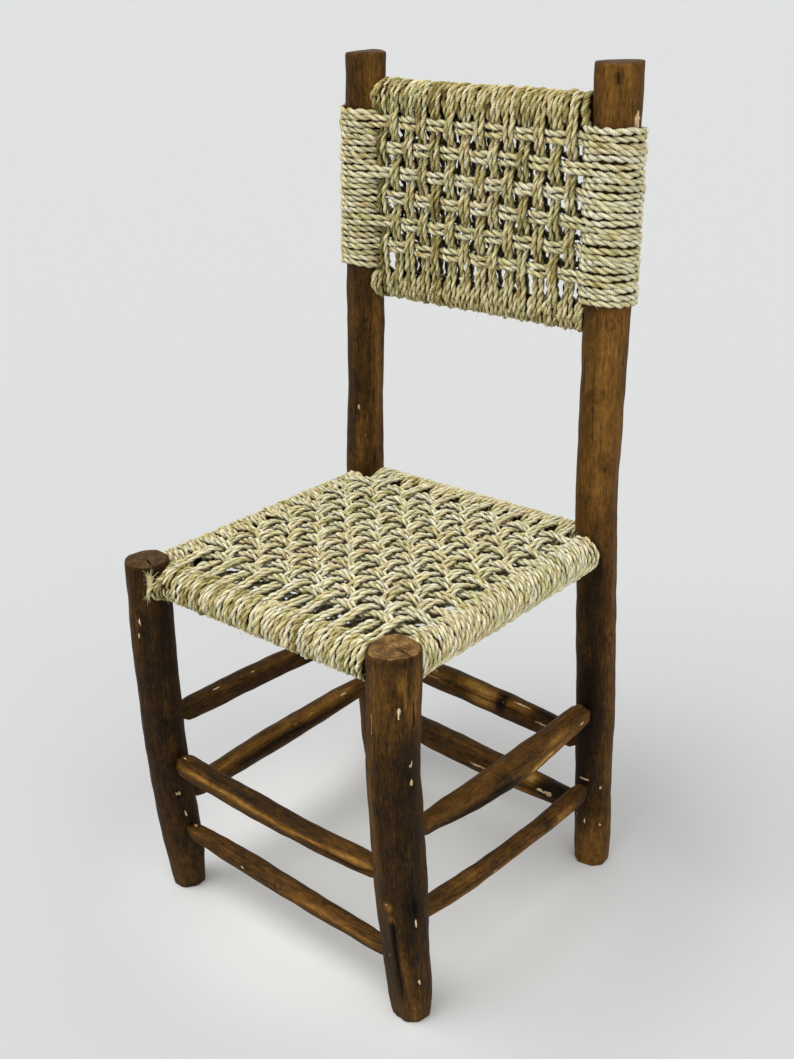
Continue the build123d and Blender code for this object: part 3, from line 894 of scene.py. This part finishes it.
def twistCord(route, sideways, thick, lighter):
    # rings of points of a two-ply cord along a closed route, with their fields
    steps = np.linalg.norm(np.roll(route, -1, 0) - route, axis=1)
    reached = np.concatenate([[0], np.cumsum(steps)])
    length = reached[-1]
    turns = max(2, round(length / (cord["lay"] * mm)))
    count = turns * cord["ringsPerLay"]
    at = np.arange(count) * length / count
    closed = np.vstack([route, route[:1]])
    centre = np.stack([np.interp(at, reached, closed[:, k]) for k in range(3)], 1)
    ahead = unit(np.roll(centre, -1, 0) - np.roll(centre, 1, 0))
    side = unit(sideways - (ahead @ sideways)[:, None] * ahead)
    up = np.cross(ahead, side)
    centre = centre + side * drift(at, length, "wander", mm)[:, None]
    centre = centre + up * drift(at, length, "heave", mm)[:, None]
    swell = thick / 2 * mm * (1 + drift(at, length, "fullness"))
    plies = np.ones((count, 12))
    uneven = drift(at, length, "plies")
    plies[:, :6] += uneven[:, None]
    plies[:, 6:] -= uneven[:, None]
    turn = fullTurn * (at / length * turns + dice.uniform())
    turn = turn + drift(at, length, "phase")
    inside = np.sign(((centre.mean(0) - centre) * up).sum())
    x = section[:, 0] * plies * swell[:, None]
    y = section[:, 1] * plies * swell[:, None]
    cosine, sine = np.cos(turn)[:, None], np.sin(turn)[:, None]
    rings = (centre[:, None] + cord["wide"] * (cosine * x - sine * y)[..., None] * side[:, None]
             + cord["low"] * (sine * x + cosine * y)[..., None] * up[:, None])
    start = dice.uniform(0, 50)  # each cord takes its leaves from another place
    across = section * thick / 2 * mm
    fibre = np.stack(np.broadcast_arrays(across[:, 0] + start * 0.11, across[:, 1],
                                         at[:, None] + start), 2)
    tone = lighter + dice.normal() * cord["toneChange"] + drift(at, length, "fade")
    inwards = inside * (sine * section[:, 0] + cosine * section[:, 1])
    beside = np.abs(cosine * section[:, 0] - sine * section[:, 1])
    shade = np.maximum(shaded(inwards, *cord["innerShade"]), shaded(beside, *cord["sideShade"]))
    marks = np.stack(np.broadcast_arrays(tone[:, None], 1 - (1 - grooveShade) * (1 - shade),
                                         dice.uniform()), 2)
    return rings.reshape(-1, 3), fibre.reshape(-1, 3), marks.reshape(-1, 3), count


def makeCords(name, routes, nodes, lighter):
    # all the closed turns of one part of the weave, as one piece
    points, fibres, marks, faces = [], [], [], []
    first = 0
    for route in routes:
        ring, fibre, mark, count = twistCord(*route, lighter)
        here = np.arange(count * 12).reshape(count, 12)
        there = np.roll(here, -1, 0)
        quads = np.stack([here, np.roll(here, -1, 1), np.roll(there, -1, 1), there], 2)
        faces.append(quads.reshape(-1, 4) + first)
        points.append(ring)
        fibres.append(fibre)
        marks.append(mark)
        first += count * 12
    piece = newPiece(name, np.vstack(points), np.vstack(faces).tolist(), seagrass,
                     nodes)
    addField(piece, "fibre", np.vstack(fibres))
    addField(piece, "cordMarks", np.vstack(marks))
    print(name, len(routes), "cords", first * 2, "triangles")


def axisThrough(node):
    # centre line of a rail or bar, as a point, a unit vector that points to higher
    # coordinates, and the radius of its surface
    points, edges = nodeMesh(node)
    low, high = endsOf(node)
    axis = unit(high - low)
    level = unit(np.cross(axis, upwards))
    centre, radius = circleAt(points, edges, (low + high) / 2, axis, level)
    return centre, axis, radius


def postTop(node):
    # the same for a back post, between its two bars
    (low, high), radii = slicesOf(node, np.zeros(3), upwards, toRight, np.array(back["posts"]) * mm)
    return low, unit(high - low), radii.max()


def postAt(node, line, along):
    # centre and radius of a post where a rail or bar is let into it
    points, edges = nodeMesh(node)
    place, axis = line[:2]
    height = place[2]
    for attempt in range(2):
        centre, postRadius = circleAt(points, edges, upwards * height, upwards, toRight)
        height = place[2] + axis[2] / axis[along] * (centre[along] - place[along])
    return centre, postRadius


def placesOf(sizes, kind):
    first = sizes["first" + kind] * mm
    return first + np.arange(sizes[kind.lower() + "s"]) * sizes[kind.lower() + "Pitch"] * mm


seatWarps, seatWefts = placesOf(seat, "Warp"), placesOf(seat, "Weft")
backWarps, backWefts = placesOf(back, "Warp"), placesOf(back, "Weft")
# The branches under the cord. "spare" is how many turns come before the pairs and after them, and
# "past" how far the turns would reach into a post if they did not bend round it.
plainTurns = {"sag": 0.0, "raised": 0.0, "tone": 0.0}
railTurns = {**plainTurns, "face": upwards, "perPair": 4, "thick": 6.9, "past": (4, 4)}
barTurns = {**plainTurns, "face": -toBack, "perPair": 3, "thick": 7.6, "past": (5, 5),
            "pairs": backWarps, "along": 0, "posts": ("back_left_post", "back_right_post")}
postTurns = {**plainTurns, "face": -toBack, "perPair": 4, "past": (0, 0),
             "pairs": backWefts, "along": 2, "posts": (None, None), "spare": (3, 1)}
wound = {
    # the front rail's cords take a darker tone as painted shade, for the weaker light on their front
    "frontRail": {**railTurns, "line": axisThrough("front_seat_rail"), "along": 0,
                  "posts": ("front_left_leg", "front_right_leg"), "pairs": seatWarps,
                  "spare": (0, 0), "past": (17, 2), "tone": -0.14},
    "backRail": {**railTurns, "line": axisThrough("back_seat_rail"), "along": 0,
                 "posts": ("back_left_post", "back_right_post"), "pairs": seatWarps,
                 "spare": (1, 0), "thick": 6.8},
    "leftRail": {**railTurns, "line": axisThrough("left_seat_rail"), "along": 1,
                 "posts": ("front_left_leg", "back_left_post"), "pairs": seatWefts,
                 "spare": (5, 1)},
    # the right rail's cords take a lighter tone as painted light, for light from the right
    "rightRail": {**railTurns, "line": axisThrough("right_seat_rail"), "along": 1,
                  "posts": ("front_right_leg", "back_right_post"), "pairs": seatWefts,
                  "spare": (2, 2), "past": (4, 1), "tone": 0.04},
    # the top bar's cords take a darker tone as painted shade, as their tops get less light
    "topBar": {**barTurns, "line": axisThrough("top_back_bar"), "spare": (0, 1), "sag": 6.0,
               "tone": -0.2},
    "bottomBar": {**barTurns, "line": axisThrough("bottom_back_bar"), "spare": (2, 1), "sag": 1.5,
                  "tone": -0.04},
    "leftPost": {**postTurns, "line": postTop("back_left_post"), "thick": 7.9, "raised": 3.0,
                 "tone": 0.04},
    # the right post's cords take a lighter tone as painted light, for light from the right
    "rightPost": {**postTurns, "line": postTop("back_right_post"), "thick": 8.0, "tone": 0.12},
}
for spec in wound.values():
    spec["posts"] = [postAt(node, spec["line"], spec["along"]) if node else None
                     for node in spec["posts"]]


def pointAt(spec, value):
    # the point of a branch's centre line at a value of the coordinate that runs along it
    place, axis, radius = spec["line"]
    value = value + spec["raised"] * mm
    return place + axis * (value - place[spec["along"]]) / axis[spec["along"]]


def reachOf(spec, thick):
    return spec["line"][2] + (cord["wrapGap"] + thick / 2) * mm


def endTurns(spec):
    # places of the turns before the first pair and after the last one
    pairs, pitch = spec["pairs"], (spec["pairs"][1] - spec["pairs"][0]) / spec["perPair"]
    sides = []
    for place, way, spare, post, past in zip(pairs[[0, -1]], (-1, 1), spec["spare"],
                                             spec["posts"], spec["past"]):
        steps = [turn + 0.5 for turn in range(spare + 1)]
        if post:
            centre, radius = post
            room = abs(centre[spec["along"]] - place) - radius + (past - spec["thick"] / 2) * mm
            steps += list(np.arange(steps[-1] + hug["crowd"], room / pitch, hug["crowd"]))
        sides.append([place + way * step * pitch for step in steps])
    return sides


def bowAt(spec, value):
    # how far the front of a turn leans towards a post past the turn's top
    first, last = (side[-1] for side in endTurns(spec))
    fade = hug["fade"] * mm
    lean = math.exp(-(last - value) / fade) * (spec["posts"][1] is not None)
    lean -= math.exp(-(value - first) / fade) * (spec["posts"][0] is not None)
    return hug["bow"] * mm * lean


def waveHeight(at, knots):
    # height along a run that passes smoothly from level to level
    places, levels = np.array(knots).T
    index = np.clip(np.searchsorted(places, at, "right") - 1, 0, len(places) - 2)
    share = np.clip((at - places[index]) / (places[index + 1] - places[index]), 0, 1)
    return levels[index] + (levels[index + 1] - levels[index]) * share ** 2 * (3 - 2 * share)


def pairRoute(lowSpec, highSpec, value, thick, out, ahead, sideways, apart, face, rear):
    # once round two branches: along their faces, round the far one, back along their rears
    # and round the near one
    low, high = pointAt(lowSpec, value), pointAt(highSpec, value)
    lowRadius, highRadius = reachOf(lowSpec, thick), reachOf(highSpec, thick)
    share = np.linspace(0, 1, cord["runPoints"])[:-1, None]
    half = np.linspace(0, math.pi, cord["halfTurnPoints"])[:-1, None]
    slant = -2 * cord["slant"] * mm * sideways
    run = np.linalg.norm(high - low)
    front = (low + out * lowRadius) * (1 - share) + (high + out * highRadius) * share
    front = front + out * waveHeight(share[:, 0] * run / mm, face)[:, None] * mm
    far = high + highRadius * (out * np.cos(half) + ahead * np.sin(half)) + slant * half / math.pi
    far = far + sideways * bowAt(highSpec, value) * np.sin(half) ** 2
    behind = (high - out * highRadius) * (1 - share) + (low - out * lowRadius) * share + slant
    behind = behind - out * waveHeight((1 - share[:, 0]) * run / mm, rear)[:, None] * mm
    behind = behind + sideways * apart * mm * np.clip(np.sin(math.pi * share) * 4, 0, 1)
    near = (low - lowRadius * (out * np.cos(half) + ahead * np.sin(half))
            + slant * (1 - half / math.pi))
    near = near + sideways * bowAt(lowSpec, value) * np.sin(half) ** 2
    return np.vstack([front, far, behind, near]), sideways, thick


def levelKnots(crossings, levels, run, sizes):
    # places and heights of a run over and under what it crosses, in millimetres
    knots = [(0, 0), (sizes["lead"], 0)]
    for crossing, level in zip(crossings, levels):
        level += dice.normal() * cord["levelChange"]
        knots += [(crossing - sizes["flat"], level), (crossing + sizes["flat"], level)]
    return knots + [(run - sizes["lead"], 0), (run, 0)]


def overAndUnder(number, others, parity, sizes):
    return [sizes["over"] if (number + other) % 2 == parity else -sizes["under"]
            for other in range(len(others))]


def pairCords(lowSpec, highSpec, thick, shift, spacing):
    # both cords of each pair between two branches: the pair's number, the side of its middle
    # that the cord is on, the cord's place, and the ends and the length of its run
    for number, place in enumerate(lowSpec["pairs"]):
        moved = dice.normal() * shift * mm
        for half in (-1, 1):
            value = place + moved + half * thick / 2 * mm * dice.uniform(*spacing)
            low, high = pointAt(lowSpec, value), pointAt(highSpec, value)
            yield number, half, value, low, high, np.linalg.norm(high - low) / mm


def seatPairs(lowSpec, highSpec, crossed, ahead, sideways, parity):
    routes = []
    for number, half, value, low, high, run in pairCords(lowSpec, highSpec, seat["thick"],
                                                         seat["shift"], seat["spacing"]):
        levels = overAndUnder(number, crossed, parity, seat)
        crossings = (crossed - low[1 - lowSpec["along"]]) / mm
        sides = [levelKnots(crossings, levels, run, seat) for side in range(2)]
        routes.append(pairRoute(lowSpec, highSpec, value, seat["thick"], upwards, ahead,
                                sideways, half * seat["apart"] + seat["moved"], *sides))
    return routes


makeCords("seatWarpCords",
          seatPairs(wound["frontRail"], wound["backRail"], seatWefts, toBack, toRight, 0),
          ["seat_warp_top", "seat_warp_under"], seat["tone"])
makeCords("seatWeftCords",
          seatPairs(wound["leftRail"], wound["rightRail"], seatWarps, toRight, toBack, 1),
          ["seat_weft_top", "seat_weft_under"], seat["tone"])


def backWarpPairs():
    lowSpec, highSpec = wound["bottomBar"], wound["topBar"]
    routes = []
    for number, half, value, low, high, run in pairCords(lowSpec, highSpec, back["thick"],
                                                         back["shift"], back["spacing"]):
        levels = overAndUnder(number, backWefts, 0, back)
        moved = np.interp(backWarps[number], backWarps[[0, -1]], back["moved"])
        crossings = (backWefts - low[2]) / (high[2] - low[2]) * run
        sides = [levelKnots(crossings, levels, run, back) for side in range(2)]
        routes.append(pairRoute(lowSpec, highSpec, value, back["thick"], -toBack, upwards,
                                toRight, half * back["apart"] + moved, *sides))
    return routes


def panelPlane(x, z, face):
    # where the middle of the back's weave lies, on its front (-1) or its rear (1)
    low, high = pointAt(wound["bottomBar"], x), pointAt(wound["topBar"], x)
    share = (z - low[2]) / (high[2] - low[2])
    lowY = low[1] + face * reachOf(wound["bottomBar"], back["thick"])
    highY = high[1] + face * reachOf(wound["topBar"], back["thick"])
    return lowY + (highY - lowY) * share


def backWeftPairs():
    lowSpec, highSpec = wound["leftPost"], wound["rightPost"]
    thick = back["weftThick"]
    routes = []
    for number, half, value, low, high, run in pairCords(lowSpec, highSpec, thick,
                                                         back["weftShift"], back["weftSpacing"]):
        swings = overAndUnder(number, backWarps, 1, back)
        shares = (backWarps - low[0]) / (high[0] - low[0])
        sides = []
        for face in (-1, 1):  # from the fronts of the posts back to the panel's plane
            lowY = low[1] + face * reachOf(lowSpec, thick)
            highY = high[1] + face * reachOf(highSpec, thick)
            levels = [swing + face * (panelPlane(place, value, face)
                                      - lowY - (highY - lowY) * share) / mm
                      for swing, place, share in zip(swings, backWarps, shares)]
            sides.append(levelKnots(shares * run, levels, run, back))
        routes.append(pairRoute(lowSpec, highSpec, value, thick, -toBack, toRight, upwards,
                                back["weftMoved"], *sides))
    return routes


makeCords("backWarpCords", backWarpPairs(), ["back_warp_front", "back_warp_rear"],
          back["tone"])
makeCords("backWeftCords", backWeftPairs(), ["back_weft_front", "back_weft_rear"],
          back["weftTone"])


def turnRoute(centre, spec, value, sag):
    # one turn round a branch, drifting a little along it on its way
    thick = spec["thick"]
    angle = np.linspace(0, fullTurn, cord["turnPoints"])[:-1, None]
    axis = spec["line"][1]
    first = unit(spec["face"] - (spec["face"] @ axis) * axis)
    second = np.cross(axis, first)
    if spec["along"] == 1:  # the lower side of every level branch comes at a quarter turn
        second = -second
    slant = cord["slant"] * dice.uniform(*cord["slantChange"]) * mm * (np.cos(angle) - 1)
    lean = bowAt(spec, value) * (np.sin(angle) if spec["face"][2] else np.cos(angle)) ** 2
    radius = reachOf(spec, thick) + dice.normal() * cord["radiusChange"] * mm
    route = (centre + radius * (first * np.cos(angle) + second * np.sin(angle))
             + axis * (slant + lean) - upwards * sag * np.clip(np.sin(angle), 0, 1) ** 2)
    for post in filter(None, spec["posts"]):  # bends round the posts that it meets
        off = route[:, :2] - post[0][:2]
        away = np.linalg.norm(off, axis=1, keepdims=True)
        route[:, :2] += off / away * np.maximum(post[1] + thick / 2 * mm - away, 0)
    return route


def spacerTurns(spec):
    # the turns between the pairs along a branch, and those past the first and the last pair
    pairs, pitch = spec["pairs"], (spec["pairs"][1] - spec["pairs"][0]) / spec["perPair"]
    spots = [spot for side in endTurns(spec) for spot in side[1:]]
    for place in pairs[:-1]:
        spots += [place + (turn + 1.5) * pitch for turn in range(spec["perPair"] - 2)]
    routes = []
    for spot in spots:
        centre = pointAt(spec, spot + dice.normal() * cord["spotChange"] * mm)
        sag = spec["sag"] * dice.uniform(0, 1) ** 2 * mm
        routes.append((turnRoute(centre, spec, spot, sag), spec["line"][1], spec["thick"]))
    return routes


for branch, spec in wound.items():
    makeCords(branch + "Cords", spacerTurns(spec), [nodeOf(branch) + "_rope"], spec["tone"])

print("stray fibres")

strand = {"corners": 3, "shares": (0, 0.35, 0.7, 1), "droop": 0.3, "taper": 0.85,
          "marks": (0.06, 0.0, 0.5)}
strays = {"count": 1500, "longest": 18, "shortest": 5, "thick": 0.5, "lean": 0.7, "scatter": 0.7}
tuft = {  # a cord's frayed ends on the left leg beside the front rail: height, angle, aim, count
    "ends": [(453, -36, (0.1, 0.03, 1.0), 70), (446, -38, (0.08, 0.03, 1.0), 50),
             (441, -41, (0.0, -0.03, -1.0), 24)],
    "proud": 1.2, "longest": 13, "shortest": 5, "thick": 1.0,
    "spread": (1.6, 0.5, 2.6), "scatter": 0.14,
}


def makeHairs(name, spots, aims, lengths, thick):
    # loose ends of leaf, three-sided, curved and drawn out to a point
    points, fibres, faces = [], [], []
    corners, shares = strand["corners"], strand["shares"]
    droop = dice.normal(size=aims.shape) * strand["droop"]
    side = unit(np.cross(aims, [0.3, 0.5, 0.81]))
    other = np.cross(unit(aims), side)
    for share in shares:
        middle = spots + (aims * share + droop * share ** 2) * lengths[:, None]
        size = thick * mm / 2 * (1 - strand["taper"] * share)
        for corner in range(corners):
            turned = fullTurn * corner / corners
            points.append(middle + (side * math.cos(turned) + other * math.sin(turned)) * size)
            fibres.append(np.stack([np.full(len(spots), turned * 0.0003),
                                    np.arange(len(spots)) * 0.013, lengths * share], 1))
    for ring in range(0, corners * (len(shares) - 1), corners):
        for corner in range(corners):
            after = (corner + 1) % corners
            faces.append([ring + corner, ring + after, ring + corners + after,
                          ring + corners + corner])
    hair = np.arange(len(spots))[:, None, None] * len(points)
    quads = (np.array(faces)[None] + hair).reshape(-1, 4)
    caps = (np.array([[2, 1, 0], [9, 10, 11]])[None] + hair).reshape(-1, 3)
    points = np.stack(points, 1).reshape(-1, 3)
    piece = newPiece(name, points, quads.tolist() + caps.tolist(), seagrass, [],
                     smooth=False)
    addField(piece, "fibre", np.stack(fibres, 1).reshape(-1, 3))
    addField(piece, "cordMarks", np.tile(strand["marks"], (len(points), 1)))


def strayHairs():
    hosts = [piece for piece in bpy.data.objects if piece.name.endswith("Cords")]
    spots, normals = [], []
    for host in sorted(hosts, key=lambda piece: piece.name):
        polygons = host.data.polygons
        for index in dice.integers(0, len(polygons), strays["count"] // len(hosts)):
            spots.append(tuple(polygons[int(index)].center))
            normals.append(tuple(polygons[int(index)].normal))
    spots, normals = np.array(spots), np.array(normals)
    aims = unit(normals * strays["lean"] + dice.normal(size=normals.shape) * strays["scatter"])
    aims = unit(aims - np.minimum((aims * normals).sum(1) - 0.1, 0)[:, None] * normals)
    lengths = dice.uniform(0, 1, len(spots)) ** 3
    lengths = (strays["shortest"] + (strays["longest"] - strays["shortest"]) * lengths) * mm
    makeHairs("strayFibres", spots, aims, lengths, strays["thick"])


def frayedTuft():
    centre, radius = wound["frontRail"]["posts"][0]
    spots, aims = [], []
    away = radius / mm + tuft["proud"]
    for height, turned, aim, count in tuft["ends"]:
        spot = centre / mm * (1, 1, 0) + upwards * height
        turned = math.radians(turned)
        spot = spot + away * np.array([math.cos(turned), math.sin(turned), 0])
        spots += [spot] * count
        aims += [aim] * count
    spots = (np.array(spots) + dice.normal(size=(len(spots), 3)) * tuft["spread"]) * mm
    aims = unit(np.array(aims) + dice.normal(size=(len(spots), 3)) * tuft["scatter"])
    lengths = dice.uniform(tuft["shortest"], tuft["longest"], len(spots)) * mm
    makeHairs("frayedEnds", spots, aims, lengths, tuft["thick"])


strayHairs()
frayedTuft()
